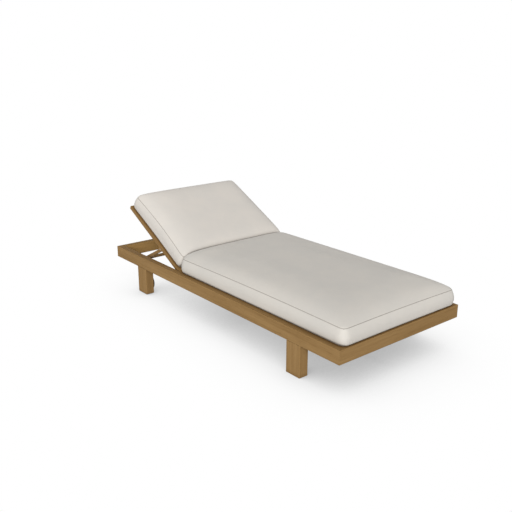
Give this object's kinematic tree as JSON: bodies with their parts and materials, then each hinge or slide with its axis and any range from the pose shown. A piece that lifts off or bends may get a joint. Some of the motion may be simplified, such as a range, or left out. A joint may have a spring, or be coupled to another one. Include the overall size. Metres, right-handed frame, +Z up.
{
  "type": "spa relaxation lounger",
  "caption": "Low wooden lounger with a slatted deck, a reclining backrest on a ratchet prop, two wheels at the head end and two loose boxed cushions.",
  "frame": {"origin": "on the floor under the centre of the frame", "axes": "+X towards the foot end, -Y the near long side, +Z up"},
  "size_m": [2, 0.85, 0.5948],
  "materials": {
    "teak": "oiled hardwood, satin",
    "dark_wood": "dark stained hardwood, satin",
    "tyre": "matt rubber",
    "steel": "brushed stainless steel",
    "nylon": "matt moulded nylon",
    "cushion_fabric": "plain woven outdoor cloth"
  },
  "bodies": {
    "frame": {"near_side_rail": "teak", "far_side_rail": "teak", "head_rail": "teak", "foot_rail": "teak", "corner_tenons": "teak", "near_foot_leg": "teak", "far_foot_leg": "teak", "near_head_leg": "teak", "far_head_leg": "teak", "deck_cross_rail": "teak", "centre_bearer": "teak", "near_ledger": "teak", "far_ledger": "teak", "seat_slat_1": "teak", "seat_slat_2": "teak", "seat_slat_3": "teak", "seat_slat_4": "teak", "seat_slat_5": "teak", "seat_slat_6": "teak", "seat_slat_7": "teak", "seat_slat_8": "teak", "seat_slat_9": "teak", "seat_slat_10": "teak", "seat_slat_11": "teak", "seat_slat_12": "teak", "seat_slat_13": "teak", "hinge_pins": "steel", "hinge_spacers": "nylon", "near_rack": "teak", "far_rack": "teak", "wheel_axles": "steel", "axle_washers": "steel", "seat_cushion": "cushion_fabric"},
    "backrest": {"near_back_stile": "teak", "far_back_stile": "teak", "back_top_rail": "teak", "back_bottom_rail": "teak", "back_slat_1": "teak", "back_slat_2": "teak", "back_slat_3": "teak", "back_slat_4": "teak", "back_slat_5": "teak", "back_slat_6": "teak", "back_slat_7": "teak", "hinge_bushes": "nylon", "near_pivot_block": "teak", "far_pivot_block": "teak", "prop_pivot_pins": "steel", "back_cushion": "cushion_fabric"},
    "prop": {"near_prop_arm": "teak", "far_prop_arm": "teak", "prop_bar": "teak"},
    "near_wheel": {"near_wheel_hub": "dark_wood", "near_tyre": "tyre"},
    "far_wheel": {"far_wheel_hub": "dark_wood", "far_tyre": "tyre"}
  },
  "joints": [
    {"name": "back_hinge", "type": "hinge", "parent": "frame", "child": "backrest", "pos_m": [-0.345, 0, 0.224], "axis": [0, 1, 0], "range_deg": [-28, 28], "deforming": ["back_cushion"]},
    {"name": "prop_pivot", "type": "hinge", "parent": "backrest", "child": "prop", "pos_m": [-0.55405, 0, 0.30797], "axis": [0, 1, 0], "range_deg": [-52.1, 52.1]},
    {"name": "near_wheel_spin", "type": "hinge", "parent": "frame", "child": "near_wheel", "pos_m": [-0.725, -0.3577, 0.05], "axis": [0, 1, 0], "continuous": true},
    {"name": "far_wheel_spin", "type": "hinge", "parent": "frame", "child": "far_wheel", "pos_m": [-0.725, 0.3577, 0.05], "axis": [0, 1, 0], "continuous": true}
  ],
  "couplings": [
    {"joint": "prop_pivot", "follows": "back_hinge", "ratio": -1.8584}
  ]
}
